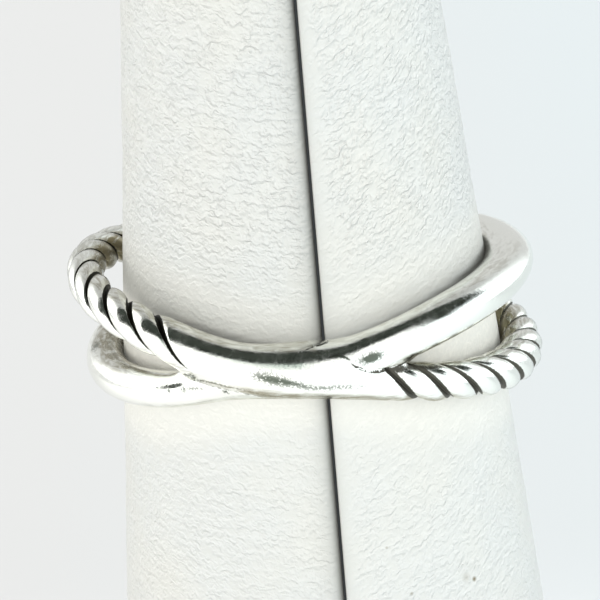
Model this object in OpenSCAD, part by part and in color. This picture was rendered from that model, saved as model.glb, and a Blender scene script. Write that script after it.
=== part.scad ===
// Crossover ring of two silver strands, one twisted like cable and one smooth,
// seated on the leather-covered cone that it is kept on.
// Millimetres. The base of the cone is on z = 0, its axis is the Z axis, the front faces -Y.

/* [Ring] */
// Finger opening, inside the smooth strand
finger_d = 17.3; // [15:0.1:21]
// Level of the ring's middle above the base
ring_level = 30; // [26:0.5:34]
// Turn of the ring about the cone, so that its crossing is left of the front
ring_turn = -2.5; // [-15:0.5:15]
// Lean of the ring, right side down
ring_lean = 3.2; // [0:0.1:3.5]
// Shift of the ring to the left of the cone's axis
ring_shift = 0.09; // [0:0.01:0.1]

/* [Cable strand] */
// Lobes around the twisted strand
lobes = 3; // [3:1:4]
// Grooves passed from one end of the smooth front to the other, round the back
grooves = 30; // [24:1:32]
// Ring angle of the first groove right of the front
first_groove = 25; // [20:1:30]
// Ring angle of the first groove left of the front
last_groove = -32.6; // [-40:0.1:-28]
// Distance of a lobe's centre from the strand's middle, as a share of the strand's radius
lobe_out = 0.3; // [0.2:0.01:0.35]

/* [Cone] */
// Height of the cone
cone_h = 54; // [50:1:60]
// Narrowing of the cone's radius for each millimetre of height
cone_taper = 0.094; // [0.08:0.002:0.1]
// Room between the cone and the finger opening at the ring's level
seat_gap = 0.05; // [0.05:0.01:0.2]
// Rounding at the edge of the cone's tip
tip_round = 3; // [1:0.5:4]
// Rounding at the edge of the base
base_round = 0.6; // [0.3:0.1:1]
// Width of the slit down the front
slit_w = 0.2; // [0.15:0.05:0.6]
// Depth of the slit
slit_deep = 2; // [1:0.5:3]
// Distance of the slit from the middle, to the right
slit_x = 0.57; // [0:0.01:1]

/* [Hidden] */

// A strand's stations round the ring, angle 0 at the front and 90 at the right.
// out is how far the strand's middle stands outside the finger opening, rise its height,
// thick its half size towards the finger, wide its half size along the finger.
ANGLE = 0;
OUT = 1;
RISE = 2;
THICK = 3;
WIDE = 4;
cable = [
    // angle, out, rise, thick, wide
    [-180, 1.20,  0.00, 0.87, 0.93],
    [-150, 1.35,  1.00, 0.87, 0.93],
    [-120, 1.45,  1.75, 0.87, 0.94],
    [ -90, 1.47,  2.10, 0.85, 0.96],
    [ -65, 1.45,  1.85, 0.85, 0.96],
    [ -42, 1.35,  1.28, 0.85, 0.98],
    [ -20, 1.20,  0.40, 0.93, 1.00],
    [   0, 1.10, -0.03, 0.95, 1.06],
    [  20, 1.07, -0.63, 0.88, 0.92],
    [  42, 1.20, -1.38, 0.86, 0.89],
    [  65, 1.33, -1.96, 0.92, 0.98],
    [  90, 1.42, -2.18, 0.93, 1.00],
    [ 120, 1.45, -1.85, 0.87, 0.96],
    [ 150, 1.35, -1.05, 0.87, 0.94]
];
smooth = [
    // angle, out, rise, thick, wide
    [-180, 0.87,  0.00, 0.80, 0.88],
    [-150, 0.85, -0.95, 0.78, 0.88],
    [-120, 0.85, -1.70, 0.77, 0.90],
    [ -90, 0.86, -2.05, 0.77, 0.92],
    [ -65, 0.85, -2.02, 0.76, 0.91],
    [ -42, 0.84, -1.56, 0.78, 0.84],
    [ -20, 0.85, -0.72, 0.79, 0.74],
    [   0, 0.88,  0.00, 0.82, 0.83],
    [  20, 0.94,  0.74, 0.88, 0.95],
    [  42, 1.00,  1.60, 0.94, 1.00],
    [  65, 1.05,  2.12, 0.99, 0.95],
    [  90, 1.00,  2.25, 0.94, 0.86],
    [ 120, 0.95,  1.95, 0.90, 0.86],
    [ 150, 0.90,  1.15, 0.85, 0.88]
];

finger_r = finger_d / 2;
groove_step = (360 + last_groove - first_groove) / grooves;

// Twist, counted in grooves: it runs a groove further at each end of the cable,
// and slowly on through the smooth front until the turns are whole.
cable_start = first_groove - groove_step;
cable_end = 360 + last_groove + groove_step;
whole_twist = lobes * ceil((grooves + 3) / lobes);
function twist(a) = lookup(a, [
    [cable_start, 0],
    [cable_end, grooves + 2],
    [cable_start + 360, whole_twist]
]);

// Station i of a table, counted on round the ring.
function row(t, i) = t[(i + len(t)) % len(t)] + [360 * floor(i / len(t)), 0, 0, 0, 0];
function slope(t, i, c) =
    (row(t, i + 1)[c] - row(t, i - 1)[c]) / (row(t, i + 1)[ANGLE] - row(t, i - 1)[ANGLE]);

// Smooth curve through a column of a table, at ring angle a.
function at(t, a, c) =
    let (
        b = a - 360 * floor((a + 180) / 360),
        i = len([for (r = t) if (r[ANGLE] <= b) 1]) - 1,
        span = row(t, i + 1)[ANGLE] - row(t, i)[ANGLE],
        s = (b - row(t, i)[ANGLE]) / span
    )
    (1 + 2 * s) * pow(1 - s, 2) * row(t, i)[c]
    + s * pow(1 - s, 2) * span * slope(t, i, c)
    + s * s * (3 - 2 * s) * row(t, i + 1)[c]
    + s * s * (s - 1) * span * slope(t, i + 1, c);

// A point of a strand's skin: ring angle a, angle q round the strand (0 outwards, 90 up),
// and share k of the strand's full radius.
function middle(t, a) =
    let (r = finger_r + at(t, a, OUT)) [r * sin(a), -r * cos(a), at(t, a, RISE)];
function skin(t, a, q, k) =
    let (
        run = middle(t, a + 0.5) - middle(t, a - 0.5),
        dir = run / norm(run),
        flat_out = [sin(a), -cos(a), 0],
        side = cross(flat_out, dir),
        up = side / norm(side) * sign(side.z),
        out = cross(dir, up) * sign(cross(dir, up) * flat_out)
    )
    middle(t, a) + k * (out * at(t, a, THICK) * cos(q) + up * at(t, a, WIDE) * sin(q));

// Share of the full radius at p grooves along the twist: round lobes that meet in sharp grooves.
function lobe(p) =
    let (from_top = (p - floor(p) - 0.5) * 360 / lobes)
    lobe_out * cos(from_top) + sqrt(pow(1 - lobe_out, 2) - pow(lobe_out * sin(from_top), 2));

// The grooves fade into the smooth front along the twist's own slant.
groove_slant = 6;
fade = 3;
function clamp01(x) = max(0, min(1, x));
function grooved(a, q) =
    let (
        b = a + groove_slant * sin(q),
        from_right = b - (first_groove - groove_step / 2 - fade),
        from_left = (360 + last_groove + groove_step / 2 + fade) - b
    )
    clamp01(from_right / fade) * clamp01(from_left / fade);

// A closed tube from rings of points, each ring in the same order.
module tube(rings) {
    n = len(rings);
    m = len(rings[0]);
    polyhedron(
        points = [for (r = rings) each r],
        faces = [
            for (i = [0 : n - 1], j = [0 : m - 1])
                let (i2 = (i + 1) % n, j2 = (j + 1) % m)
                    each [
                        [i * m + j, i * m + j2, i2 * m + j2],
                        [i * m + j, i2 * m + j2, i2 * m + j]
                    ]
        ]
    );
}

// Cable strand: each point keeps its place on a lobe, so the grooves are edges of the mesh.
lobe_sides = 6;
rings_a_groove = 7;
cable_angles = [
    for (i = [0 : (grooves + 2) * rings_a_groove - 1]) cable_start + i * groove_step / rings_a_groove,
    for (i = [0 : 11]) cable_end + i * (cable_start + 360 - cable_end) / 12
];
module cable_strand() {
    tube([
        for (a = cable_angles) [
            for (j = [0 : lobes * lobe_sides - 1])
                let (
                    p = j / lobe_sides,
                    q = (p - twist(a)) * 360 / lobes,
                    k = 1 - grooved(a, q) * (1 - lobe(p))
                )
                skin(cable, a, q, k)
        ]
    ]);
}

smooth_sides = 16;
smooth_rings = 96;
module smooth_strand() {
    tube([
        for (i = [0 : smooth_rings - 1])
            let (a = i * 360 / smooth_rings)
                [for (j = [0 : smooth_sides - 1]) skin(smooth, a, j * 360 / smooth_sides, 1)]
    ]);
}

// Both strands are one casting.
module ring() {
    color("silver")
        translate([-ring_shift, 0, ring_level])
            rotate([0, ring_lean, 0])
                rotate(ring_turn)
                    union() {
                        cable_strand();
                        smooth_strand();
                    }
}

// Radius of the cone at height z
function cone_r(z) = finger_r - seat_gap - cone_taper * (z - ring_level);

// Points of a rounded edge that turns from angle a0 to a1
round_steps = 8;
function edge(x, z, r, a0, a1) =
    [for (i = [0 : round_steps]) let (a = a0 + (a1 - a0) * i / round_steps) [x + r * cos(a), z + r * sin(a)]];

module stand() {
    side_lean = atan(cone_taper);
    color("whitesmoke")
        difference() {
            rotate_extrude($fn = 120)
                polygon(concat(
                    [[0, 0]],
                    edge(cone_r(base_round) - base_round / cos(side_lean), base_round, base_round, -90, side_lean),
                    edge(cone_r(cone_h - tip_round) - tip_round / cos(side_lean), cone_h - tip_round, tip_round, side_lean, 90),
                    [[0, cone_h]]
                ));
            translate([slit_x - slit_w / 2, -2 * cone_r(0), base_round + 1])
                cube([slit_w, 2 * cone_r(0) - cone_r(cone_h) + slit_deep, cone_h]);
        }
}

ring();
stand();
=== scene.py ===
# Crossover ring of cast silver on a slit ring cone: the finish of both pieces, and the studio round them.
import math
from functools import partial
import bpy
import numpy as np
from mathutils import Matrix


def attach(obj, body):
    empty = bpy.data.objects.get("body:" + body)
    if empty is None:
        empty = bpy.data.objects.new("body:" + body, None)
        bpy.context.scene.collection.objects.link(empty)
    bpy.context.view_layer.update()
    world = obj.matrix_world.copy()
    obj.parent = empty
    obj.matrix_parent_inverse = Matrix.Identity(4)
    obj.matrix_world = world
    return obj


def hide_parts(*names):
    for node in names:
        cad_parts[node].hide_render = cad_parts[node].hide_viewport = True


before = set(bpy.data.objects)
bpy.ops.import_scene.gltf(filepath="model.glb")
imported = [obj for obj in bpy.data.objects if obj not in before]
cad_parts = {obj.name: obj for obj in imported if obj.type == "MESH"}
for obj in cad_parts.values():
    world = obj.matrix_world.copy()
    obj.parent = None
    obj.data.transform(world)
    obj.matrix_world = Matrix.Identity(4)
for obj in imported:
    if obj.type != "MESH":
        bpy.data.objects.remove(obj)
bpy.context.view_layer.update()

mm = 0.001

# Camera, as found from the edges of the ring and the cone in the photo
shot = {
    "ringLevel": 30,  # mm, the level that the camera was fitted to
    "elevation": 17.54,  # degrees above the horizon
    "roll": 5.23,  # degrees, the cone leans to the left in the picture
    "distance": 143,  # mm from the cone's axis
    "focalPixels": 3072,  # focal length in pixels of a 600 pixel frame
    "centrePixel": (307.2, 304.4),  # where the axis at the ring's level falls in the frame
    "frame": 600,
}


def makeCamera(s):
    elevation = math.radians(s["elevation"])
    roll = math.radians(s["roll"])
    forward = np.array([0, math.cos(elevation), -math.sin(elevation)])
    upright = np.array([0, math.sin(elevation), math.cos(elevation)])
    sideways = np.array([1.0, 0, 0])
    right = math.cos(roll) * sideways - math.sin(roll) * upright
    up = math.sin(roll) * sideways + math.cos(roll) * upright
    place = mm * (np.array([0, 0, s["ringLevel"]]) - s["distance"] * forward)
    data = bpy.data.cameras.new("camera")
    data.sensor_width = 36
    data.lens = s["focalPixels"] * data.sensor_width / s["frame"]
    data.shift_x = (s["frame"] / 2 - s["centrePixel"][0]) / s["frame"]
    data.shift_y = (s["centrePixel"][1] - s["frame"] / 2) / s["frame"]
    data.clip_start = 0.005
    data.clip_end = 20
    camera = bpy.data.objects.new("camera", data)
    camera.matrix_world = Matrix([*np.column_stack([right, up, -forward, place]), (0, 0, 0, 1)])
    bpy.context.collection.objects.link(camera)
    bpy.context.scene.camera = camera


makeCamera(shot)
print("camera placed")


def linearColour(code):
    # sRGB hex to linear light
    parts = [int(code[i:i + 2], 16) / 255 for i in (1, 3, 5)]
    return [c / 12.92 if c <= 0.04045 else ((c + 0.055) / 1.055) ** 2.4 for c in parts] + [1.0]


def perMm(size):
    # Texture scale at which one feature of a noise is about this many mm
    return 1 / (size * mm)


def addNode(tree, kind, *values, output="", **settings):
    # values fill the sockets in use, in order; settings are the node's own, or sockets by name. A socket
    # takes a value, a hex colour or a link. What is returned is the named output, or the first one, or for
    # None the node. A noise has its place, scale, detail and roughness; a map range its value, then from low,
    # from high, to low, to high
    node = tree.nodes.new("ShaderNode" + kind)
    for name in [name for name in settings if name in node.bl_rna.properties]:
        setattr(node, name, settings.pop(name))
    entries = list(zip([socket for socket in node.inputs if socket.enabled], values))
    entries += [(node.inputs[name], value) for name, value in settings.items()]
    for socket, value in entries:
        if isinstance(value, bpy.types.NodeSocket):
            tree.links.new(value, socket)
        else:
            socket.default_value = linearColour(value) if isinstance(value, str) else value
    if output is None:
        return node
    return next(socket for socket in node.outputs if socket.enabled and output in ("", socket.name))


def startNodes(owner):
    # Empties the nodes of a material or world; gives the function that adds to them
    owner.use_nodes = True
    owner.node_tree.nodes.clear()
    return partial(addNode, owner.node_tree)


def meshObject(name, points, faceGroups):
    # points in mm; each group holds faces of one number of sides
    mesh = bpy.data.meshes.new(name)
    mesh.vertices.add(len(points))
    mesh.vertices.foreach_set("co", (np.asarray(points) * mm).astype(np.float32).ravel())
    corners = np.concatenate([group.ravel() for group in faceGroups]).astype(np.int32)
    sides = np.concatenate([np.full(len(group), group.shape[1]) for group in faceGroups])
    starts = np.concatenate([[0], np.cumsum(sides)[:-1]]).astype(np.int32)
    mesh.loops.add(len(corners))
    mesh.loops.foreach_set("vertex_index", corners)
    mesh.polygons.add(len(sides))
    mesh.polygons.foreach_set("loop_start", starts)
    mesh.polygons.foreach_set("use_smooth", np.full(len(sides), True))
    mesh.update(calc_edges=True)
    piece = bpy.data.objects.new(name, mesh)
    bpy.context.collection.objects.link(piece)
    return piece


def gridFaces(rows, columns, closedRows):
    # Quads of a grid whose rows are rings; closedRows joins the last ring to the first
    i, j = np.meshgrid(np.arange(rows if closedRows else rows - 1), np.arange(columns), indexing="ij")
    i2 = (i + 1) % rows
    j2 = (j + 1) % columns
    corners = [i * columns + j, i * columns + j2, i2 * columns + j2, i2 * columns + j]
    return np.stack(corners, -1).reshape(-1, 4)


def store(piece, name, values, kind="FLOAT", field="value"):
    layer = piece.data.attributes.new(name, kind, "POINT")
    layer.data.foreach_set(field, np.asarray(values, np.float32).ravel())


latticeSize = 32


def cloudNoise(points, seed):
    # Smooth noise, about -1 to 1: slopes drawn at random on a unit lattice, blended between its eight corners
    draw = np.random.default_rng(seed)
    slopes = draw.normal(size=(latticeSize, latticeSize, latticeSize, 3))
    slopes /= np.linalg.norm(slopes, axis=-1, keepdims=True)
    cell = np.floor(points).astype(int)
    part = points - cell
    blend = part ** 3 * (part * (part * 6 - 15) + 10)
    total = np.zeros(points.shape[:-1])
    for corner in np.ndindex(2, 2, 2):
        step = np.array(corner)
        at = (cell + step) % latticeSize
        slope = slopes[at[..., 0], at[..., 1], at[..., 2]]
        weight = np.prod(np.where(step == 1, blend, 1 - blend), axis=-1)
        total += weight * np.sum(slope * (part - step), axis=-1)
    return total * 1.5


def smoothStep(x, low, high):
    # 0 up to low, 1 from high, an S curve between
    t = np.clip((x - low) / (high - low), 0, 1)
    return t * t * (3 - 2 * t)


def signedAngle(angle):
    # The same direction, from -180 up to 180 degrees
    return (angle + 180) % 360 - 180


# Ring. The stations of its strands are the ones that the solid is made from
ring = {
    "fingerRadius": 8.65,  # mm
    "level": 30,
    "turn": -2.5,  # degrees about the cone
    "lean": 3.2,  # degrees, right side down
    "shift": 0.09,  # mm to the left
    "lobes": 3,
    "grooves": 30,
    "firstGroove": 25,  # ring angle right of the front
    "lastGroove": -32.6,  # ring angle left of the front
    "lobeOut": 0.3,
    "slant": 6,  # degrees that a groove's end leans as the smooth front begins
    "fade": 3,  # degrees over which the first groove fades
    "leftPlain": 1,  # degrees from the last groove to where it begins to fade
    "leftFade": 1.6,  # and over which it fades
    "grooveSpacing": 1.3,  # mm square to the grooves
    "notchDepth": 0.09,  # mm, the cut at the bottom of a groove
    "notchWidth": 0.085,  # mm, half its width
    # Half the width that stays black in a groove, mm, from least to most; and the shares between them, by the
    # degrees round the section, at the left and at the right, and by the degrees from the front
    "blackLeast": 0.06,
    "blackMost": 0.165,
    "blackInLeft": ([-90, -65, 15, 45, 80], [0, 0.38, 0.28, 0.8, 1]),
    "blackInRight": ([-90, -20, 35, 80], [1, 1, 0.55, 0.25]),
    "blackAlongLeft": ([0, 65, 80, 120], [1, 1, 0.45, 0.3]),
    "blackAlongRight": ([0, 60, 90, 120], [1, 1.05, 1.3, 1.1]),
    "blackNarrows": (32, 48),  # degrees right of the front, over which the section begins to count
    "blackEdge": (0.6, 1.4),  # shares of the width, between which the black ends
    "seamBlack": 0.8,  # where the strands meet at the back
    "seamWidth": 0.07,  # mm, half of it
    # mm by which each strand sinks into the leather, by the ring angle
    "smoothPressed": ([-150, -120, -90, -60, -30, 25, 42, 55, 80, 100, 125, 155],
                      [0, 0.14, 0.32, 0.22, 0, 0, 0.06, 0.16, 0.36, 0.42, 0.2, 0]),
    "cablePressed": ([45, 62, 90, 115], [0, 0.16, 0.14, 0]),
    "ringsPerGroove": 20,
    "plainRings": 120,
    "stepsPerLobe": 22,
    "crowding": 0.55,  # how much closer the steps lie at the grooves
    "smoothRings": 440,
    "smoothSteps": 56,
    "frontCrowding": 0.5,  # how much closer the smooth strand's rings lie at the front
    # mm over which the strands run together above and below the crossing, by mm right of the front
    "filletPlaces": [-3, 0, 2.5, 4.5],
    "filletAbove": [0.9, 1.6, 1, 0.45],
    "filletBelow": [0.9, 0.9, 0.6, 0.35],
    "filletBehind": 0.5,
    "filletMiddle": 0.4,  # mm from the ring's level, between above and below
}
# angle; then out, rise, thick and wide of the cable strand, and of the smooth strand
bothStrands = np.array([
    [-180, 1.20,  0.00, 0.87, 0.93, 0.87,  0.00, 0.80, 0.88],
    [-150, 1.35,  1.00, 0.87, 0.93, 0.85, -0.95, 0.78, 0.88],
    [-120, 1.45,  1.75, 0.87, 0.94, 0.85, -1.70, 0.77, 0.90],
    [ -90, 1.47,  2.10, 0.85, 0.96, 0.86, -2.05, 0.77, 0.92],
    [ -65, 1.45,  1.85, 0.85, 0.96, 0.85, -2.02, 0.76, 0.91],
    [ -42, 1.35,  1.28, 0.85, 0.98, 0.84, -1.56, 0.78, 0.84],
    [ -20, 1.20,  0.40, 0.93, 1.00, 0.85, -0.72, 0.79, 0.74],
    [   0, 1.10, -0.03, 0.95, 1.06, 0.88,  0.00, 0.82, 0.83],
    [  20, 1.07, -0.63, 0.88, 0.92, 0.94,  0.74, 0.88, 0.95],
    [  42, 1.20, -1.38, 0.86, 0.89, 1.00,  1.60, 0.94, 1.00],
    [  65, 1.33, -1.96, 0.92, 0.98, 1.05,  2.12, 0.99, 0.95],
    [  90, 1.42, -2.18, 0.93, 1.00, 1.00,  2.25, 0.94, 0.86],
    [ 120, 1.45, -1.85, 0.87, 0.96, 0.95,  1.95, 0.90, 0.86],
    [ 150, 1.35, -1.05, 0.87, 0.94, 0.90,  1.15, 0.85, 0.88],
])
cableStations = bothStrands[:, :5]
smoothStations = bothStrands[:, [0, 5, 6, 7, 8]]


def stationCurve(stations, angle):
    # Closed cubic through the stations; the slope at each is the one between its neighbours. What the
    # strand sinks into the leather is added to its inner side
    known = stations[:, 0]
    count = len(known)
    wrapped = signedAngle(angle)
    low = np.searchsorted(known, wrapped, side="right") - 1
    high = (low + 1) % count
    after = np.append(known[1:], known[0] + 360)
    before = np.insert(known[:-1], 0, known[-1] - 360)
    columns = stations[:, 1:]
    slope = (np.roll(columns, -1, 0) - np.roll(columns, 1, 0)) / (after - before)[:, None]
    span = (after - known)[low][..., None]
    s = (wrapped - known[low])[..., None] / span
    size = (
        (1 + 2 * s) * (1 - s) ** 2 * columns[low]
        + s * (1 - s) ** 2 * span * slope[low]
        + s * s * (3 - 2 * s) * columns[high]
        + s * s * (s - 1) * span * slope[high]
    )
    sunk = ring["smoothPressed"] if stations is smoothStations else ring["cablePressed"]
    pressed = np.interp(wrapped, *sunk) / 2
    size[..., 0] -= pressed
    size[..., 2] += pressed
    return size


def strandMiddle(stations, angle):
    # Circle of the finger opening, widened by the table's out and lifted by its rise
    size = stationCurve(stations, angle)
    radius = ring["fingerRadius"] + size[..., 0]
    turn = np.radians(angle)
    return np.stack([radius * np.sin(turn), -radius * np.cos(turn), size[..., 1]], -1), size


def strandFrame(stations, angle):
    # Middle of the strand, its run over one degree, and the directions square to that: away from the finger
    # (out) and up
    middle, size = strandMiddle(stations, angle)
    run = strandMiddle(stations, angle + 0.5)[0] - strandMiddle(stations, angle - 0.5)[0]
    run /= np.linalg.norm(run, axis=-1, keepdims=True)
    turn = np.radians(angle)
    outward = np.stack([np.sin(turn), -np.cos(turn), 0 * turn], -1)
    up = np.cross(outward, run)
    up *= np.sign(up[..., 2:3]) / np.linalg.norm(up, axis=-1, keepdims=True)
    out = np.cross(run, up)
    out *= np.sign(np.sum(out * outward, -1, keepdims=True))
    return middle, run, out, up, size


def skinPoints(stations, angle, around, share):
    # Oval of half sizes thick and wide round the middle; share scales it
    middle, run, out, up, size = strandFrame(stations, angle)
    thick = size[..., 2:3]
    wide = size[..., 3:4]
    q = np.radians(around)[..., None]
    return middle + share[..., None] * (out * thick * np.cos(q) + up * wide * np.sin(q))


def strandDistance(stations, points):
    # Distance from the oval skin, to first order: the oval's own measure less 1, over how fast it grows.
    # The direction is the one in which it grows
    tiny = 1e-6
    angle = np.degrees(np.arctan2(points[..., 0], -points[..., 1]))
    for _ in range(2):
        middle, run, out, up, size = strandFrame(stations, angle)
        along = np.sum((points - middle) * run, -1)
        angle = angle + np.degrees(along / (ring["fingerRadius"] + size[..., 0]))
    middle, run, out, up, size = strandFrame(stations, angle)
    x = np.sum((points - middle) * out, -1)
    y = np.sum((points - middle) * up, -1)
    measure = np.sqrt((x / size[..., 2]) ** 2 + (y / size[..., 3]) ** 2) + tiny
    slopeX = x / size[..., 2] ** 2
    slopeY = y / size[..., 3] ** 2
    steepness = np.sqrt(slopeX ** 2 + slopeY ** 2) + tiny
    direction = (out * slopeX[..., None] + up * slopeY[..., None]) / steepness[..., None]
    return (measure - 1) * measure / steepness, direction


# The twist runs a groove further at each end of the cable, and slowly on through the smooth front until its
# turns are whole
grooveStep = (360 + ring["lastGroove"] - ring["firstGroove"]) / ring["grooves"]
cableStart = ring["firstGroove"] - grooveStep
cableEnd = 360 + ring["lastGroove"] + grooveStep
wholeTwist = ring["lobes"] * math.ceil((ring["grooves"] + 3) / ring["lobes"])


def groovedShare(angle, around):
    # 1 where the strand is twisted, 0 on the smooth front; the edge follows the slant of the twist
    slanted = angle + ring["slant"] * np.sin(np.radians(around))
    fromRight = slanted - (ring["firstGroove"] - grooveStep / 2 - ring["fade"])
    fromLeft = 360 + ring["lastGroove"] + ring["leftPlain"] + ring["leftFade"] - slanted
    return np.clip(fromRight / ring["fade"], 0, 1) * np.clip(fromLeft / ring["leftFade"], 0, 1)


def filletWidth(points):
    # In front, from the width below to the one above by an S curve of the height; one width behind
    x, y, z = np.moveaxis(points, -1, 0)
    above = np.interp(x, ring["filletPlaces"], ring["filletAbove"])
    below = np.interp(x, ring["filletPlaces"], ring["filletBelow"])
    isAbove = smoothStep(z, -ring["filletMiddle"], ring["filletMiddle"])
    return np.where(y < 0, above * isAbove + below * (1 - isAbove), ring["filletBehind"])


def blendStrands(points, own, other):
    # Smooth minimum of the two strands' distances, low = own * h + other * (1 - h) - width * h * (1 - h).
    # Each point moves along its slope until it has the value that it had on its own strand. Where a point is
    # inside the other strand it dives back, so the two skins meet in one clean seam
    gap = strandDistance(other, points)[0]
    width = filletWidth(points)
    reach, longestStep, leastSlope, dive = 1.5, 0.15, 0.3, 0.35
    near = np.abs(gap) < reach * width
    place = points[near]
    span = width[near]
    start = strandDistance(own, place)[0]
    for _ in range(4):
        ownDistance, ownWay = strandDistance(own, place)
        otherDistance, otherWay = strandDistance(other, place)
        h = np.clip(0.5 + 0.5 * (otherDistance - ownDistance) / span, 0, 1)
        low = ownDistance * h + otherDistance * (1 - h) - span * h * (1 - h)
        way = ownWay * h[:, None] + otherWay * (1 - h)[:, None]
        step = np.clip(start - low, -longestStep, longestStep) / np.maximum(np.sum(way * way, -1), leastSlope)
        place = place + way * step[:, None]
    moved = points.copy()
    share = smoothStep(gap[near], -dive * span, 0 * span)[:, None]
    moved[near] = points[near] + share * (place - points[near])
    return moved, gap


# Wear and tarnish seen in the photo, with painted shade and painted reflections among them
marks = {
    # strand, ring angle, place round the strand, half length mm, half width mm, strength
    "tarnishAndShade": [
        ("smooth", 17.1, 2, 0.46, 0.19, 1.45),
        ("cable", -3, 40, 0.7, 0.26, 0.5),
        ("smooth", -34.8, 10, 0.16, 0.1, 1),
        ("smooth", -30.5, 14, 0.16, 0.14, 1),
        ("smooth", -27, 13, 0.6, 0.09, 0.8),
        ("smooth", -18.5, -1, 0.14, 0.12, 1.1),
        # From here on: painted shade on the upper and inner side at the left, toward the cone
        ("smooth", -82, 62, 0.6, 0.38, 0.95),
        ("smooth", -70, 105, 0.9, 0.12, 0.8),
        ("smooth", -48, 100, 0.9, 0.12, 0.8),
        ("cable", -106, 165, 1.3, 0.45, 0.75),
    ],
    "black": [
        ("cable", 23.5, 50, 0.42, 0.14, 1.1),
        ("cable", 27, 54, 0.45, 0.11, 1),
        ("cable", 29, 68, 0.5, 0.14, 1.1),
        ("cable", 34, 60, 0.5, 0.11, 1),
    ],
    # Film, partly tarnish and partly painted shade and painted reflection: each zone's strength, and over
    # what it begins: degrees round the section and round the ring, and how far the skin faces the finger
    "film": {
        # painted reflection of the shaded cone under the ring
        "below": (0.82, [("fromFront", 60, 35), ("section", -24, -46), ("section", -150, -115)]),
        "spared": (0.5, [("ringAngle", -6, -24)]),  # the share of it that is missing at the left
        "aboveCable": (0.62, [("section", 50, 64), ("fromFront", 100, 70)]),
        "aboveSmooth": (0.4, [("section", 50, 64), ("fromFront", 100, 70)]),
        "backCable": (0.45, [("fromFront", 68, 95)]),
        # painted shade: the inner side reflecting the shaded leather in the narrow gap
        "innerCable": (0.65, [("inward", 0.2, 0.8)]),
        "topCable": (0.585, [("ringAngle", 48, 70), ("inward", -0.35, 0.5)]),
        "innerSmooth": (0.5, [("inward", 0.2, 0.8)]),
        "leftSmooth": (0.85, [("ringAngle", -38, -58), ("ringAngle", -115, -95), ("section", 15, 80)]),
    },
}


def markStrength(rows, strand, angle, around, size):
    # Each mark is a bell curve along and round its strand, at half strength at its half sizes
    spread = 1.4
    total = np.zeros_like(angle)
    for name, markAngle, markAround, halfLength, halfWidth, strength in rows:
        if name != strand:
            continue
        along = np.radians(signedAngle(angle - markAngle)) * (ring["fingerRadius"] + size[..., 0])
        across = np.radians(signedAngle(around - markAround)) * (size[..., 2] + size[..., 3]) / 2
        bell = strength * np.exp(-((along / halfLength) ** 2 + (across / halfWidth) ** 2) / spread)
        total = np.maximum(total, bell)
    return total


def grooveBlack(grooved, fromGroove, around, angle):
    # 1 in the middle of a groove, 0 beyond the width that stays black there
    ringAngle = signedAngle(angle)
    sectionAngle = signedAngle(around)
    leftShare = np.interp(sectionAngle, *ring["blackInLeft"]) * np.interp(-ringAngle, *ring["blackAlongLeft"])
    narrowed = 1 - np.interp(sectionAngle, *ring["blackInRight"])
    narrowed *= smoothStep(ringAngle, *ring["blackNarrows"])
    rightShare = np.interp(ringAngle, *ring["blackAlongRight"]) * (1 - narrowed)
    wideShare = np.where(ringAngle < 0, leftShare, rightShare)
    width = ring["blackLeast"] + (ring["blackMost"] - ring["blackLeast"]) * wideShare
    first, last = ring["blackEdge"]
    return grooved * (1 - smoothStep(fromGroove, width * first, width * last))


def cableStrand():
    # Ring angles, places round the strand, shares of its full size there, and black
    ringsInTwist = (ring["grooves"] + 2) * ring["ringsPerGroove"]
    twisted = cableStart + np.arange(ringsInTwist) * grooveStep / ring["ringsPerGroove"]
    plain = cableEnd + np.arange(ring["plainRings"]) * (cableStart + 360 - cableEnd) / ring["plainRings"]
    angle = np.concatenate([twisted, plain])
    twist = np.interp(angle, [cableStart, cableEnd, cableStart + 360], [0, ring["grooves"] + 2, wholeTwist])
    t = np.arange(ring["lobes"] * ring["stepsPerLobe"]) / ring["stepsPerLobe"]
    p = t - ring["crowding"] * np.sin(2 * np.pi * t) / (2 * np.pi)
    angleGrid, pGrid = np.meshgrid(angle, p, indexing="ij")
    around = (pGrid - twist[:, None]) * 360 / ring["lobes"]
    # Lobe: a circle of radius 1 - lobeOut set off the middle by lobeOut
    fromTop = np.radians(((pGrid % 1) - 0.5) * 360 / ring["lobes"])
    out = ring["lobeOut"]
    lobe = out * np.cos(fromTop) + np.sqrt((1 - out) ** 2 - (out * np.sin(fromTop)) ** 2)
    # Groove floor: a bell curve of depth across the groove
    fromGroove = np.minimum(pGrid % 1, 1 - pGrid % 1) * ring["grooveSpacing"]
    notch = ring["notchDepth"] * np.exp(-(fromGroove / ring["notchWidth"]) ** 2)
    notch /= stationCurve(cableStations, angleGrid)[..., 2]
    grooved = groovedShare(angleGrid, around)
    share = 1 - grooved * (1 - lobe + notch)
    return angleGrid, around, share, grooveBlack(grooved, fromGroove, around, angleGrid)


def smoothStrand():
    # The same for a plain wire; its ring angles are even, less a share of their sine
    even = np.arange(ring["smoothRings"]) * 2 * np.pi / ring["smoothRings"]
    angle = np.degrees(even - ring["frontCrowding"] * np.sin(even))
    around = np.arange(ring["smoothSteps"]) * 360 / ring["smoothSteps"]
    angleGrid, aroundGrid = np.meshgrid(angle, around, indexing="ij")
    return angleGrid, aroundGrid, np.ones_like(angleGrid), np.zeros_like(angleGrid)


def ringSeat():
    # Turn about the axis, then lean to the right; and the shift and lift that follow
    turn = math.radians(ring["turn"])
    lean = math.radians(ring["lean"])
    spin = np.array([[math.cos(turn), -math.sin(turn), 0], [math.sin(turn), math.cos(turn), 0], [0, 0, 1]])
    tip = np.array([[math.cos(lean), 0, math.sin(lean)], [0, 1, 0], [-math.sin(lean), 0, math.cos(lean)]])
    return tip @ spin, np.array([-ring["shift"], 0, ring["level"]])


seatTurn, seatShift = ringSeat()


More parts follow.
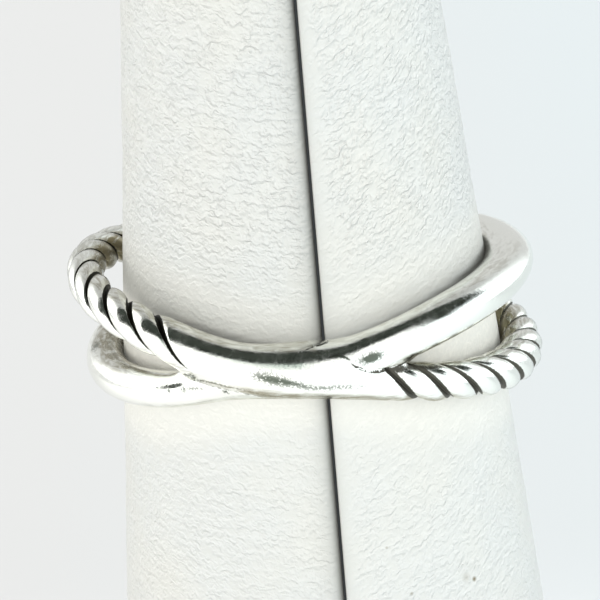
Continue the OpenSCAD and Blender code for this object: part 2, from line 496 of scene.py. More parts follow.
def uniteMeshes(piece, other):
    union = piece.modifiers.new("union", "BOOLEAN")
    union.operation = "UNION"
    union.solver = "MANIFOLD"
    union.object = other
    evaluated = piece.evaluated_get(bpy.context.evaluated_depsgraph_get())
    mesh = bpy.data.meshes.new_from_object(evaluated)
    piece.modifiers.clear()
    piece.data = mesh
    bpy.data.objects.remove(other)


def filmOfPatinaAndShade(strand, around, angle):
    # Grey-brown film of patina and painted shade: the strongest zone, where each is its strength times an S
    # curve of each of its measures
    ringAngle = signedAngle(angle)
    section = signedAngle(around)
    inward = -np.cos(np.radians(around))
    measures = {"section": section, "ringAngle": ringAngle, "fromFront": np.abs(ringAngle), "inward": inward}
    zone = {}
    for name, (strength, edges) in marks["film"].items():
        curves = [smoothStep(measures[measure], low, high) for measure, low, high in edges]
        zone[name] = strength * np.prod(curves, axis=0)
    below = zone["below"] * (1 - zone["spared"])
    if strand == "smooth":
        return np.maximum.reduce([below, zone["aboveSmooth"], zone["innerSmooth"], zone["leftSmooth"]])
    back = zone["backCable"] + np.maximum(zone["innerCable"], zone["topCable"])
    return np.maximum.reduce([below, zone["aboveCable"], back])


def makeRing():
    strands = []
    for name, strand, own, other, shape in (
        ("crossover_ring", "cable", cableStations, smoothStations, cableStrand()),
        ("smooth_strand", "smooth", smoothStations, cableStations, smoothStrand()),
    ):
        angle, around, share, black = shape
        points, gap = blendStrands(skinPoints(own, angle, around, share), own, other)
        size = stationCurve(own, angle)
        x, y, z = np.moveaxis(points, -1, 0)
        backSeam = ring["seamBlack"] * np.exp(-(gap / ring["seamWidth"]) ** 2) * (y > 0)
        black = np.maximum(black, markStrength(marks["black"], strand, angle, around, size))
        seated = points.reshape(-1, 3) @ seatTurn.T + seatShift
        piece = meshObject(name, seated, [gridFaces(*angle.shape, True)[:, ::-1]])
        store(piece, "blackened", np.maximum(black, backSeam))
        store(piece, "tarnishAndShade", markStrength(marks["tarnishAndShade"], strand, angle, around, size))
        store(piece, "patinaAndShade", filmOfPatinaAndShade(strand, around, angle))
        ringPlace = np.stack([np.degrees(np.arctan2(x, -y)), np.hypot(x, y), z], -1)
        store(piece, "ringPlace", ringPlace, "FLOAT_VECTOR", "vector")
        strands.append(piece)
    uniteMeshes(*strands)
    return strands[0]


ringPiece = makeRing()
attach(ringPiece, "root")
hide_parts("ring")

silver = {
    # Lines in front: ring angle, height mm, half width mm, strength; the black ones are painted shade in the
    # creases where the strands meet
    "blackCreaseShade": [
        [
            (11, 0.68, 0.03, 0), (12, 0.52, 0.05, 0.6), (13, 0.38, 0.075, 0.95), (14.5, 0.24, 0.08, 1),
            (16.5, 0.09, 0.085, 1.1), (20, -0.02, 0.08, 1.1), (23.6, 0.03, 0.07, 1), (27.5, 0.18, 0.05, 0.7),
        ],
        [
            (-2, 1.05, 0.02, 0), (-0.1, 1.12, 0.025, 0.45), (2.3, 1.22, 0.028, 0.6), (6.6, 1.32, 0.028, 0.6),
            (8, 1.36, 0.02, 0),
        ],
    ],
    # The grey ones: painted shade in the creases where the strands meet, and a painted reflection of a dark
    # band across the front
    "greyShadeLines": [
        [
            (-12.4, 0.21, 0.14, 0), (-10.8, 0.17, 0.26, 0.7), (-8, 0.08, 0.31, 1.02),
            (-5.5, -0.01, 0.31, 1.06), (-3, -0.11, 0.27, 1.02), (-1, -0.21, 0.23, 0.93),
            (2, -0.38, 0.18, 0.82), (5.5, -0.46, 0.16, 0.76), (9, -0.48, 0.15, 0.72),
            (12.5, -0.52, 0.14, 0.62), (18, -0.56, 0.08, 0),
        ],
        [
            (5.5, 0.84, 0.03, 0), (7.2, 0.89, 0.06, 1.2), (9.4, 0.89, 0.08, 1.4), (11.2, 0.76, 0.06, 1.1),
            (11.9, 0.66, 0.03, 0),
        ],
        [
            (-29, -0.42, 0.05, 0), (-27, -0.39, 0.07, 0.9), (-22.4, -0.36, 0.08, 0.9),
            (-18.4, -0.45, 0.08, 0.8), (-14.6, -0.55, 0.07, 0.7), (-9.4, -0.78, 0.07, 0.5),
            (-7, -0.88, 0.05, 0),
        ],
    ],
    "lineMost": 2,  # no height, width or strength of a line is higher
    "outerSide": (9.3, 9.5),  # mm from the ring's axis, over which the black lines begin
    # How a mark breaks up: the part of the noise that counts, how far it raises or lowers the strength,
    # and the strengths over which the mark then begins
    "blackBroken": ((0.3, 0.7), 0.16, (0.35, 0.65)),
    "greyBroken": ((0.35, 0.65), 0.5, (0.3, 0.8)),
    "filmBroken": ((0.35, 0.65), 0.42, (0.1, 1)),
    "brokenSize": 0.1,  # mm
    "streakLong": 0.8,  # mm, streaks of the film along the strand
    "streakWide": 0.2,
    "metal": "#f3f4ee",
    # grey-green: tarnish, and painted shade and painted reflection
    "tarnishAndShadeTint": "#656b61",
    # grey-brown: patina, and painted shade and painted reflection
    "patinaAndShadeTint": "#8b836a",
    # near black: oxide in the grooves, and painted shade in the creases where the strands meet
    "oxideAndShade": "#26251f",
    "oxideWorn": "#5a5850",
    "wornFrom": (-15, 25),  # degrees right of the front, over which the black is worn
    "roughness": 0.1,
    "rubbedRoughness": 0.24,
    "rubbedSize": 0.35,  # mm, patches rubbed finer and coarser
    "rubbedOver": (0.42, 0.62),  # the part of the noise that counts
    "hazeRoughness": 0.3,
    "oxideRoughness": 0.5,
    "unevenSize": 0.9,  # mm, the slow waviness that casting and tumbling leave
    "unevenHeight": 0.006,
    "scuffSize": 0.13,  # mm, fine scuffs of wear
    "scuffHeight": 0.0042,
}


def drawnLine(add, along, height, rows, most):
    # Bell curve across a line, strength * exp(-((height - line) / width) ^ 2), all three curves of the angle.
    # A curve node holds 0 to 1, which stands for -most to most
    low = rows[0][0]
    span = rows[-1][0] - low
    share = add("MapRange", along, low, low + span)
    curves = []
    for column in (1, 2, 3):
        node = add("FloatCurve", Value=share, output=None)
        curve = node.mapping.curves[0]
        places = [((row[0] - low) / span, row[column] / most / 2 + 0.5) for row in rows]
        curve.points[0].location = places[0]
        curve.points[1].location = places[-1]
        for place in places[1:-1]:
            curve.points.new(*place)
        node.mapping.update()
        curves.append(add("MapRange", node.outputs[0], 0.0, 1.0, -most, most))
    line, width, strength = curves
    off = add("Math", height, line, operation="SUBTRACT")
    off = add("Math", off, width, operation="DIVIDE")
    square = add("Math", off, off, operation="MULTIPLY")
    bell = add("Math", math.exp(-1), square, operation="POWER")
    return add("Math", bell, strength, operation="MULTIPLY")


def brokenUp(add, strength, pattern, over, by, shown):
    # Share of a mark that shows: its strength, raised and lowered by the pattern
    uneven = add("MapRange", pattern, *over, -by, by)
    total = add("Math", strength, uneven, operation="ADD")
    return add("MapRange", total, *shown)


def castSilver(s):
    # Sterling silver, cast, tumbled bright, blackened in the grooves: a mirror that wavers, lightly scuffed
    material = bpy.data.materials.new("tumbled cast silver with blackened grooves")
    add = startNodes(material)
    place = add("TexCoord", output="Object")
    slow = add("TexNoise", place, perMm(s["unevenSize"]), 1.0)
    slow = add("Bump", Height=slow, Distance=s["unevenHeight"] * mm)
    fine = add("TexNoise", place, perMm(s["scuffSize"]), 3.0)
    fine = add("Bump", Height=fine, Distance=s["scuffHeight"] * mm, Normal=slow)
    names = ("blackened", "tarnishAndShade", "patinaAndShade")
    black, grey, film = [add("Attribute", attribute_name=name, output="Fac") for name in names]
    ringPlace = add("Attribute", attribute_name="ringPlace", output="Vector")
    along, outward, height = add("SeparateXYZ", ringPlace, output=None).outputs
    outside = add("MapRange", outward, *s["outerSide"])
    # Painted shade: black lines in the creases where the strands meet, on the outer side
    for rows in s["blackCreaseShade"]:
        line = drawnLine(add, along, height, rows, s["lineMost"])
        line = add("Math", line, outside, operation="MULTIPLY")
        black = add("Math", black, line, operation="MAXIMUM")
    # Painted shade and painted reflection: grey lines in the creases and across the front, laid with the
    # tarnish
    for rows in s["greyShadeLines"]:
        line = drawnLine(add, along, height, rows, s["lineMost"])
        grey = add("Math", grey, line, operation="MAXIMUM")
    specks = add("TexNoise", place, perMm(s["brokenSize"]), 2.0)
    # The film's streaks: the ring angle is turned to mm of strand and shrunk by their length
    mmPerDegree = 0.17
    stretch = (mmPerDegree / s["streakLong"], 1 / s["streakWide"], 1 / s["streakWide"])
    streaks = add("VectorMath", ringPlace, stretch, operation="MULTIPLY")
    streaks = add("TexNoise", streaks, 1.0, 3.0, Distortion=0.6)
    black = brokenUp(add, black, specks, *s["blackBroken"])
    grey = add("Math", brokenUp(add, grey, specks, *s["greyBroken"]), grey, operation="MULTIPLY")
    film = add("Math", brokenUp(add, film, streaks, *s["filmBroken"]), film, operation="MULTIPLY")
    worn = add("MapRange", along, *s["wornFrom"])
    oxideAndShade = add("Mix", worn, s["oxideAndShade"], s["oxideWorn"], data_type="RGBA")
    # Layers: grey is tarnish with painted shade and reflection, film is patina with painted shade and
    # reflection, black is oxide in the grooves with painted shade in the creases
    colour = s["metal"]
    for share, tint in ((grey, s["tarnishAndShadeTint"]), (film, s["patinaAndShadeTint"]), (black, oxideAndShade)):
        colour = add("Mix", share, colour, tint, data_type="RGBA")
    rough = add("TexNoise", place, perMm(s["rubbedSize"]), 4.0, 0.7)
    rough = add("MapRange", rough, *s["rubbedOver"], s["roughness"], s["rubbedRoughness"])
    dull = add("Math", grey, film, operation="MAXIMUM")
    for share, roughness in ((dull, s["hazeRoughness"]), (black, s["oxideRoughness"])):
        rough = add("Mix", share, rough, roughness, data_type="FLOAT")
    shader = add("BsdfPrincipled", colour, Metallic=1.0, Roughness=rough, Normal=fine)
    add("OutputMaterial", shader, output=None)
    return material


ringPiece.data.materials.clear()
ringPiece.data.materials.append(castSilver(silver))
print("ring made:", len(ringPiece.data.polygons), "faces")

# Ring cone: leatherette over a padded core, whose two edges meet at the slit
cone = {
    "height": 54,
    "radiusAtRing": 8.6,  # mm, at the ring's level
    "taper": 0.094,
    "tipRound": 3,
    "baseRound": 0.6,
    "slitX": 0.61,  # mm to the right at the ring's level
    "slitLean": 0.0068,  # mm further right for each mm up
    "slitWidth": 0.055,
    "slitInner": 4.34,  # mm from the axis to the bottom of the slit
    "slitLowest": 1.6,
    "rollLeft": 0.7,  # mm, how far the left edge rolls in
    "rollRight": 0.12,
    "sideRows": 236,
    "edgeRows": (5, 8, 18, 14),  # of the foot, the base's and the tip's rounding, and the top
    "fanRadius": 0.3,  # mm, of the flat middle of the foot and of the top
    "columns": 300,
    "evenFrom": 1.05,  # mm from the slit to the even columns, and to the closer ones beside it
    "slitColumns": [0, 0.012, 0.03, 0.06, 0.1, 0.15, 0.21, 0.28, 0.36, 0.46, 0.58, 0.72, 0.88],
    "slitSteps": [0.03, 0.1, 0.25, 0.5, 1],  # shares of the way down its walls
    # mm: how far the grain has climbed at a distance right of the slit
    "climbs": ([-27, 0, 8, 27], [2.8, 0, 2.8, 2.8]),
    "grainDepth": ([22, 28, 31, 36.5], [0.6, 0.5, 0.52, 1]),  # mm up, and its share there
    "wrinkleLong": 1.3,  # mm
    "wrinkleTall": 0.85,
    "wrinkleDepth": 0.025,
    "wrinkleWidth": 0.22,  # of the noise's value
    "finerSize": 0.62,  # a second set of wrinkles, as shares of the first
    "finerDepth": 0.7,
    "finerWidth": 0.25,
    "warpSize": 1.3,  # mm
    "warpBy": [0.5, 0.5, 0.25],
    "patchSize": 3.5,  # mm, where the wrinkles are deeper
    "patchOver": (-0.5, 0.5),  # of the noise's value
    "leastDepth": 0.5,  # share of their depth between the patches
    "swellSize": 5,
    "swellDepth": 0.03,
    # mm over which the relief begins: from the slit's two edges, from the ring, and above the foot
    "calmRight": (0.1, 1.1),
    "calmLeft": (0.05, 0.8),
    "calmRing": (0.3, 4.4),
    "calmFoot": (0.1, 0.8),
    "leastNearRing": 0.06,  # shares that are left of it there
    "leastRelief": 0.15,
    "leastGrain": 0.16,
    # Painted shade at the slit's edges: share, mm over which it thins, and how sharply
    "edgeShadeLeft": [(0.49, 0.5, 1.2), (0.19, 0.12, 1)],
    "edgeShadeRight": [(0.15, 0.25, 1)],
    # mm from the ring at which the painted contact shadow begins to fade, by the ring angle, and over which
    # it fades
    "contactNear": ([-60, -42, -20, 0, 12, 40, 60, 80], [0.74, 0.7, 0.55, 0.4, 0.29, 0.27, 0.22, 0.18]),
    "contactFade": 0.14,
    "contactBelow": 0.4,  # its share under the ring's middle
    "contactAround": ([-150, -110, -60, -15, -5, 3, 12, 20, 35, 50, 70, 110, 150],
                      [0.2, 0.7, 0.74, 0.64, 0.35, 0, 0.25, 0.6, 0.65, 0.75, 0.85, 0.85, 0.2]),
    # Painted light that lifts the shade in the openings: its share between the strands by the ring angle, and
    # the mm from the ring's level over which it ends; its share close to the ring, and the mm from it over
    # which that begins and ends
    "fillPlaces": ([-110, -90, -40, -28, 28, 40, 90, 110], [0, 1, 1, 0, 0, 1, 1, 0]),
    "fillHeight": (1.2, 1.8),
    "fillClose": 0.4,
    "closeFrom": (0.3, 0.6),
    "closeTo": (1.2, 2.6),
}


def coneRadius(z):
    # Radius at the ring's level, less the taper times the height above it
    return cone["radiusAtRing"] - cone["taper"] * (z - ring["level"])


def roundedEdge(x, z, radius, start, end, steps):
    # Arc about (x, z); the direction of its normal is the angle itself
    a = np.linspace(start, end, steps)
    return x + radius * np.cos(np.radians(a)), z + radius * np.sin(np.radians(a)), a


def coneProfile():
    # From the middle of the foot, round the base edge, up the side, over the tip's rounding to its middle
    lean = math.degrees(math.atan(cone["taper"]))
    cosLean = math.cos(math.radians(lean))
    low = cone["baseRound"]
    tipRound = cone["tipRound"]
    high = cone["height"] - tipRound
    footRows, baseRows, tipRows, topRows = cone["edgeRows"]
    base = roundedEdge(coneRadius(low) - low / cosLean, low, low, -90, lean, baseRows)
    tip = roundedEdge(coneRadius(high) - tipRound / cosLean, high, tipRound, lean, 90, tipRows)
    foot = np.linspace(cone["fanRadius"], base[0][0], footRows)[:-1]
    top = np.linspace(tip[0][-1], cone["fanRadius"], topRows)[1:]
    side = np.linspace(0, 1, cone["sideRows"])[1:-1]
    sideR, sideZ = [start[-1] + side * (end[0] - start[-1]) for start, end in zip(base[:2], tip[:2])]
    parts = [
        (foot, 0 * foot, 0 * foot - 90),
        base,
        (sideR, sideZ, 0 * side + lean),
        tip,
        (top, 0 * top + cone["height"], 0 * top + 90),
    ]
    return [np.concatenate(column) for column in zip(*parts)]


def rolledIn(distance, radius):
    # Quarter circle: how deep the edge lies at this distance from the slit
    left = np.clip(radius - distance, 0, radius)
    return radius - np.sqrt(radius ** 2 - left ** 2)


def wrinkleHeight(x, y, z, fromSlit):
    # Creases along the lines where a warped, stretched noise is zero, on a slow swelling of the padding
    climbed = z - np.interp(fromSlit, *cone["climbs"])
    place = np.stack([x, y, climbed], -1)
    warp = cloudNoise(place / cone["warpSize"], 11)[..., None] * np.array(cone["warpBy"])
    stretch = np.array([cone["wrinkleLong"], cone["wrinkleLong"], cone["wrinkleTall"]])
    coarse = cloudNoise((place + warp) / stretch, 12)
    apart = 7.3
    finer = cloudNoise((place - warp) / (stretch * cone["finerSize"]) + apart, 13)
    depth = np.exp(-(coarse / cone["wrinkleWidth"]) ** 2)
    depth += cone["finerDepth"] * np.exp(-(finer / cone["finerWidth"]) ** 2)
    patchy = smoothStep(cloudNoise(place / cone["patchSize"], 14), *cone["patchOver"])
    depth = cone["wrinkleDepth"] * depth * (cone["leastDepth"] + (1 - cone["leastDepth"]) * patchy)
    swell = cloudNoise(place / cone["swellSize"], 15)
    return cone["swellDepth"] * (swell - 1) - depth, place


def ringShadeAndFill(place, toRing):
    # Painted shadow where the ring presses on the leather, and painted light that lifts the shade between the
    # strands and, less so, close to them
    ringAngle = np.degrees(np.arctan2(place[..., 0], -place[..., 1]))
    isAbove = place[..., 2] > 0
    seatAngle = np.where(isAbove, ringAngle, np.abs(ringAngle))
    nearest = np.interp(seatAngle, *cone["contactNear"])
    contact = 1 - smoothStep(toRing, nearest, nearest + cone["contactFade"])
    contact *= np.interp(seatAngle, *cone["contactAround"]) * np.where(isAbove, 1, cone["contactBelow"])
    between = np.interp(ringAngle, *cone["fillPlaces"])
    between *= 1 - smoothStep(np.abs(place[..., 2]), *cone["fillHeight"])
    close = cone["fillClose"] * smoothStep(toRing, *cone["closeFrom"])
    close *= 1 - smoothStep(toRing, *cone["closeTo"])
    return contact, np.maximum(between, close)


def edgeShade(distance, rows):
    # Each row's share * exp(-(distance / thins) ^ sharpness), all added
    return sum(share * np.exp(-(distance / thins) ** sharpness) for share, thins, sharpness in rows)


def coneSkin():
    # Rings of points from the slit's right edge round to its left and down its walls, the numbers stored with
    # them, and where the grain lies
    r, z, a = coneProfile()
    radius = r[:, None]
    half = cone["slitWidth"] / 2
    reach = np.maximum(r, cone["slitInner"])
    slitX = cone["slitX"] + cone["slitLean"] * (z - ring["level"])
    leftAngle = np.arcsin((slitX - half) / reach)[:, None]
    rightAngle = np.arcsin((slitX + half) / reach)[:, None]
    # Columns: close together at the two edges of the slit, even in between
    girth = 2 * np.pi * cone["radiusAtRing"]
    near = np.array(cone["slitColumns"])
    even = np.linspace(cone["evenFrom"], girth - cone["evenFrom"], cone["columns"])
    share = np.concatenate([near, even, girth - near[::-1]]) / girth
    angle = rightAngle + share * (2 * np.pi + leftAngle - rightAngle)
    fromRight = (angle - rightAngle) * radius
    fromLeft = (2 * np.pi + leftAngle - angle) * radius
    isOpen = ((z > cone["slitLowest"]) & (r > cone["slitInner"])).astype(float)[:, None]
    inset = (rolledIn(fromLeft, cone["rollLeft"]) + rolledIn(fromRight, cone["rollRight"])) * isOpen
    x = radius * np.sin(angle)
    y = -radius * np.cos(angle)
    level = z[:, None] + 0 * angle
    place = (np.stack([x, y, level], -1) - seatShift) @ seatTurn
    toRing = np.minimum(strandDistance(cableStations, place)[0], strandDistance(smoothStations, place)[0])
    # Wrinkles stand square to the side; none on the foot, few beside the slit and the ring
    fromSlit = (angle - (leftAngle + rightAngle) / 2 + np.pi) % (2 * np.pi) - np.pi
    height, grain = wrinkleHeight(x, y, level, fromSlit * cone["radiusAtRing"])
    nearRing, relief, embossed = cone["leastNearRing"], cone["leastRelief"], cone["leastGrain"]
    calm = smoothStep(fromRight, *cone["calmRight"]) * smoothStep(fromLeft, *cone["calmLeft"])
    calm *= nearRing + (1 - nearRing) * smoothStep(toRing, *cone["calmRing"])
    height = height * (relief + (1 - relief) * calm) * smoothStep(level, *cone["calmFoot"])
    across = radius - inset + height * np.cos(np.radians(a))[:, None]
    up = level + height * np.sin(np.radians(a))[:, None]
    outer = np.stack([across * np.sin(angle), -across * np.cos(angle), up], -1)
    # Slit: from the left edge straight in, across its bottom and out to the right edge
    lipY = np.maximum(outer[:, -1, 1], outer[:, 0, 1])
    innerY = np.where(isOpen[:, 0] > 0, np.maximum(-cone["slitInner"], lipY), lipY)
    steps = np.array(cone["slitSteps"])[None, :, None]
    walls = []
    for lip in (outer[:, -1], outer[:, 0]):
        inner = np.stack([lip[:, 0], innerY, lip[:, 2]], -1)
        walls.append(lip[:, None] + steps * (inner - lip)[:, None])
    rings = np.concatenate([outer, walls[0], walls[1][:, ::-1]], 1)
    # The left edge darkens with painted shade as it rolls in, the right one is cut square and darkens less
    edges = edgeShade(np.maximum(fromLeft, 0), cone["edgeShadeLeft"]) + edgeShade(fromRight, cone["edgeShadeRight"])
    contact, paintedFill = ringShadeAndFill(place, toRing)
    embossed = embossed + (1 - embossed) * calm
    numbers = {
        "insideSlit": edges * isOpen,
        "embossed": embossed * np.interp(level, *cone["grainDepth"]),
        "contact": contact,
        "paintedFill": paintedFill,
    }
    # The walls of the slit: wholly inside it where it is open, and nothing else
    added = 2 * len(cone["slitSteps"])
    for name, values in numbers.items():
        wall = isOpen if name == "insideSlit" else 0 * isOpen
        numbers[name] = np.concatenate([values, np.repeat(wall, added, 1)], 1)
    grain = np.concatenate([grain, np.repeat(grain[:, -1:], added, 1)], 1)
    return rings, numbers, grain


def makeCone():
    rings, numbers, grain = coneSkin()
    rows, columns = rings.shape[:2]
    around = np.arange(columns)
    ahead = (around + 1) % columns
    foot = np.array([0, 0, 0.0])
    top = np.array([0, 0, rings[-1, :, 2].mean()])
    points = np.concatenate([rings.reshape(-1, 3), [foot, top]])
    footFan = np.stack([around, np.full(columns, rows * columns), ahead], -1)
    start = (rows - 1) * columns
    topFan = np.stack([start + around, start + ahead, np.full(columns, rows * columns + 1)], -1)
    piece = meshObject("ring_cone", points, [gridFaces(rows, columns, False), footFan[:, ::-1], topFan])
    for name, values in numbers.items():
        atEnds = 1.0 if name == "embossed" else 0.0
        store(piece, name, np.append(values, [atEnds, atEnds]))
    grain = np.concatenate([grain.reshape(-1, 3), [foot, top]])
    store(piece, "grainPlace", grain, "FLOAT_VECTOR", "vector")
    return piece


conePiece = makeCone()
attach(conePiece, "root")
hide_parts("stand")

leather = {
    "face": "#cdcecb",
    "creaseShade": "#cacac4",
    "warmTint": "#d1cfc7",
    "paintedFillTint": "#e4e1d8",
    "edgeShade": "#66655e",
    "contactShadow": "#3b3a35",
    # the slit's walls: a dark colour painted for the shade inside it
    "inside": "#74787a",
    "spot": "#6b5f3c",
    "contactShadowStrength": 0.85,
    "roughness": 0.55,
    "gloss": 0.3,
    "pebbleSize": 0.17,  # mm
    "pebbleHeight": 0.01,
    "warmSize": 5,  # mm, warmer patches
    "warmOver": (0.4, 0.75, 0, 0.6),  # from where to where in the noise, and shares of the tint
    "creaseShaded": (0.009, 0, 0, 0.35),  # from where to where in mm of grain, and shares of the painted crease shade
    "creaseShows": (0.3, 0.58),  # from where to where in the noise
    "slitEdge": (0, 0.75),  # from where to where in insideSlit the edge gets painted shade
    "slitCore": (0.75, 0.85),  # and the inside begins
    "creases": [
        # mm: spacing, half width, depth, how far a crease wanders, its length
        (0.53, 0.125, 0.046, 0.34, 0.42),
        (0.34, 0.085, 0.026, 0.22, 0.28),
    ],
    "apart": (7.3, 3.1),  # mm from one layer's noises to the next's, so that they don't match
    # Small stains: angle from the front, height, half size mm, strength
    "spots": [
        (41.8, 18.52, 0.16, 0.9), (39, 18.75, 0.3, 0.25),
        (15.7, 21.18, 0.1, 0.8), (21.3, 18.83, 0.12, 0.6),
    ],
    "spotCore": 0.3,  # share of its half size where a stain is at its full strength
}


def leatherette(s):
    # Leatherette: cloth-backed vinyl, embossed with a fine wrinkled grain: matt white with small soft shadows
    material = bpy.data.materials.new("embossed white leatherette")
    add = startNodes(material)
    place = add("TexCoord", output="Object")
    grain = add("Attribute", attribute_name="grainPlace", output="Vector")
    names = ("embossed", "paintedFill", "contact", "insideSlit")
    numbers = [add("Attribute", attribute_name=name, output="Fac") for name in names]
    embossed, paintedFill, contact, inside = numbers
    climbed = add("SeparateXYZ", grain, output="Z")
    smooth = {"interpolation_type": "SMOOTHSTEP"}
    height = 0.0
    # Creases: wavy lines one spacing apart, each broken into short pieces where a noise is low
    for number, (spacing, halfWidth, depth, wander, length) in enumerate(s["creases"]):
        moved = add("VectorMath", grain, (s["apart"][0] * number + 1.7, 0, 0), operation="ADD")
        wave = add("TexNoise", moved, 1 / length, 2.0)
        line = add("Math", wave, 4 * wander, climbed, operation="MULTIPLY_ADD")
        away = add("Math", line, spacing / 2, operation="PINGPONG")
        cut = add("MapRange", away, 0.0, 2 * halfWidth, depth, 0.0, **smooth)
        stretch = (1 / length, 1 / length, 0.9 / spacing)
        flat = add("Mapping", grain, (0, s["apart"][1] * number + 0.9, 0), Scale=stretch)
        pieces = add("TexNoise", flat, 0.8, 1.0)
        pieces = add("MapRange", pieces, *s["creaseShows"], **smooth)
        height = add("Math", cut, pieces, height, operation="MULTIPLY_ADD")
    height = add("Math", height, embossed, operation="MULTIPLY")
    pebble = add("TexNoise", grain, 1 / s["pebbleSize"], 2.0)
    pebble = add("Math", pebble, s["pebbleHeight"], operation="MULTIPLY")
    relief = add("Math", height, pebble, operation="ADD")
    relief = add("Bump", Height=relief, Distance=mm)
    warm = add("TexNoise", place, perMm(s["warmSize"]), 2.0)
    warm = add("MapRange", warm, *s["warmOver"])
    # Painted shade in the creases, deeper where the crease is deeper
    deep = add("MapRange", height, *s["creaseShaded"])
    # Painted light: a lighter colour between and beside the strands, lifting their shade; painted shade in
    # the creases
    layers = [(warm, "warmTint"), (paintedFill, "paintedFillTint"), (deep, "creaseShade")]
    for angle, z, size, strength in s["spots"]:
        a = math.radians(angle)
        radius = coneRadius(z)
        centre = (radius * math.sin(a) * mm, -radius * math.cos(a) * mm, z * mm)
        away = add("VectorMath", place, centre, operation="DISTANCE")
        spot = add("MapRange", away, size * mm, size * mm * s["spotCore"], 0.0, strength)
        layers.append((spot, "spot"))
    # Painted shadow along the ring's contact with the leather
    contactShadowShare = add("MapRange", contact, 0.0, 1.0, 0.0, s["contactShadowStrength"])
    # Painted shade: on the slit's rolled edge, and a dark colour on its walls inside
    edge = add("MapRange", inside, *s["slitEdge"])
    core = add("MapRange", inside, *s["slitCore"])
    layers += [(contactShadowShare, "contactShadow"), (edge, "edgeShade"), (core, "inside")]
    colour = s["face"]
    for share, tint in layers:
        colour = add("Mix", share, colour, s[tint], data_type="RGBA")
    gloss = {"Roughness": s["roughness"], "Specular IOR Level": s["gloss"]}
    shader = add("BsdfPrincipled", colour, Normal=relief, **gloss)
    add("OutputMaterial", shader, output=None)
    return material


conePiece.data.materials.append(leatherette(leather))
print("cone made:", len(conePiece.data.polygons), "faces")

# Studio: white all round, with a dark patch above and in front of the ring, which the polished metal shows
studio = {
    # Edges: degrees over which something begins, up from the front ("tilt"), to the right ("side") or to
    # either side ("aside"). "ragged" is the tilt with the patch's waver and notch, "leaned" the tilt less
    # its rise, and "off" the distance from its middle
    "patch": [("ragged", 45, 55), ("leaned", 99, 95), ("off", 80, 64)],
    "patchMiddle": -12,
    "patchUneven": 14,  # degrees that its lower edge wavers
    "unevenScale": 9,  # waves of that to one unit of direction
    "patchNotch": 15,  # degrees that its lower edge is higher just right of the front
    "notch": [("side", 10, 24), ("side", 40, 27)],
    "patchRise": 9,  # degrees that its upper edge runs further back at the right
    "rise": [("side", 5, 45)],
    "dark": "#2c302c",
    "lessDark": "#4c524c",
    "lessDarkOver": (0.35, 0.75),  # the part of the noise that counts
    "white": "#fdfefd",
    "whiteRight": "#eef6fa",
    "right": [("side", 10, 60)],
    "aboveWhite": 0.56,  # just behind overhead
    "backWhite": 0.72,
    "back": [("tilt", 118, 140)],
    "sideWhite": 2.4,
    "beside": [("aside", 25, 60)],
    "frontWhite": 1.35,  # below the patch
    "front": [("tilt", 60, 44), ("aside", 75, 50)],
    "veil": 0.7,  # share of a pale green that hangs below the patch, in the middle
    "veilTint": "#a3bbae",
    "veilEdges": [("side", -32, -14), ("side", 16, 0), ("tilt", 6, 38), ("tilt", 80, 60)],
}


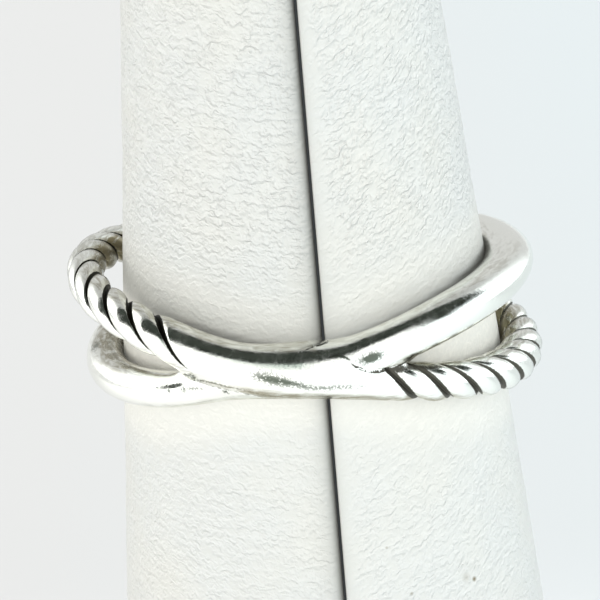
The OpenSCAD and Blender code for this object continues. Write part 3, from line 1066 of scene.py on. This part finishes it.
def makeWorld(s):
    world = bpy.data.worlds.new("studio")
    bpy.context.scene.world = world
    add = startNodes(world)
    direction = add("TexCoord", output="Generated")
    x, y, z = add("SeparateXYZ", direction, output=None).outputs
    forward = add("Math", y, -1.0, operation="MULTIPLY")
    tilt = add("Math", z, forward, operation="ARCTAN2")
    side = add("Math", x, operation="ARCSINE")
    sources = {"tilt": tilt, "side": side, "aside": add("Math", side, operation="ABSOLUTE")}

    def within(edges):
        # Product of S curves, one for each edge
        share = None
        for source, low, high in edges:
            low, high = math.radians(low), math.radians(high)
            curve = add("MapRange", sources[source], low, high, interpolation_type="SMOOTHSTEP")
            share = add("Math", share, curve, operation="MULTIPLY") if share else curve
        return share

    # Dark patch: its lower edge wavers, its upper edge runs further back to the right
    uneven = add("TexNoise", direction, s["unevenScale"], 3.0)
    wavy = add("Math", uneven, math.radians(s["patchUneven"]), tilt, operation="MULTIPLY_ADD")
    notch = -math.radians(s["patchNotch"])
    sources["ragged"] = add("Math", within(s["notch"]), notch, wavy, operation="MULTIPLY_ADD")
    raised = add("MapRange", within(s["rise"]), 0.0, 1.0, 0.0, math.radians(s["patchRise"]))
    sources["leaned"] = add("Math", tilt, raised, operation="SUBTRACT")
    off = add("Math", side, math.radians(s["patchMiddle"]), operation="SUBTRACT")
    sources["off"] = add("Math", off, operation="ABSOLUTE")
    lessDark = add("MapRange", uneven, *s["lessDarkOver"])
    dark = add("Mix", lessDark, s["dark"], s["lessDark"], data_type="RGBA")
    # White: darker overhead, brighter at the sides and in front
    level = add("MapRange", within(s["back"]), 0.0, 1.0, s["aboveWhite"], s["backWhite"])
    level = add("MapRange", within(s["beside"]), 0.0, 1.0, level, s["sideWhite"])
    level = add("Mix", within(s["front"]), level, s["frontWhite"], data_type="FLOAT")
    white = add("Mix", within(s["right"]), s["white"], s["whiteRight"], data_type="RGBA")
    lit = add("VectorMath", white, level, operation="SCALE")
    veil = add("Math", within(s["veilEdges"]), s["veil"], operation="MULTIPLY")
    colour = add("Mix", veil, lit, s["veilTint"], data_type="RGBA")
    colour = add("Mix", within(s["patch"]), colour, dark, data_type="RGBA")
    background = add("Background", colour)
    add("OutputWorld", background, output=None)


makeWorld(studio)

floor = {
    "size": 3000,  # mm
    "left": "#f4f4f3",
    "right": "#f1f8fa",
    "grey": 0.45,  # share of its colour that it scatters, the rest of its light is its own
    "glowBehind": 0.23,  # the board is lit a little from below, more towards the front
    "glowInFront": 0.9,
    "glowOver": (0.045, -0.06),  # m behind the axis
    "glowLeft": (-0.02, -0.1, 0, -0.08),  # m to the right, and how far back that moves it
    "leftToRight": (-0.02, 0.03),
}


def makeFloor(f):
    half = f["size"] / 2
    corners = [(-half, -half, 0), (half, -half, 0), (half, half, 0), (-half, half, 0)]
    piece = meshObject("floor", corners, [np.array([[0, 1, 2, 3]])])
    material = bpy.data.materials.new("matt white board")
    add = startNodes(material)
    place = add("TexCoord", output="Object")
    x, y, z = add("SeparateXYZ", place, output=None).outputs
    share = add("MapRange", x, *f["leftToRight"])
    colour = add("Mix", share, f["left"], f["right"], data_type="RGBA")
    further = add("MapRange", x, *f["glowLeft"])
    forward = add("Math", y, further, operation="ADD")
    glow = (*f["glowOver"], f["glowBehind"], f["glowInFront"])
    glow = add("MapRange", forward, *glow, interpolation_type="SMOOTHSTEP")
    scattered = add("VectorMath", colour, f["grey"], operation="SCALE")
    face = add("BsdfDiffuse", scattered)
    lit = add("Emission", colour, glow)
    both = add("AddShader", face, lit)
    add("OutputMaterial", both, output=None)
    piece.data.materials.append(material)


makeFloor(floor)

overhead = {
    "elevation": 75,  # degrees above the front horizon
    "strength": 3,  # W per square metre
    "softness": 20,  # degrees across
}


def makeOverhead(o):
    # Fill from a large overhead panel: shadowless, and left out of the reflections
    light = bpy.data.lights.new("overhead", "SUN")
    light.energy = o["strength"]
    light.angle = math.radians(o["softness"])
    light.use_shadow = False
    lamp = bpy.data.objects.new("overhead", light)
    lamp.rotation_euler = (math.radians(90 - o["elevation"]), 0, 0)
    lamp.visible_glossy = False
    bpy.context.collection.objects.link(lamp)


makeOverhead(overhead)
bpy.context.scene.view_settings.view_transform = "Standard"
print("studio made")
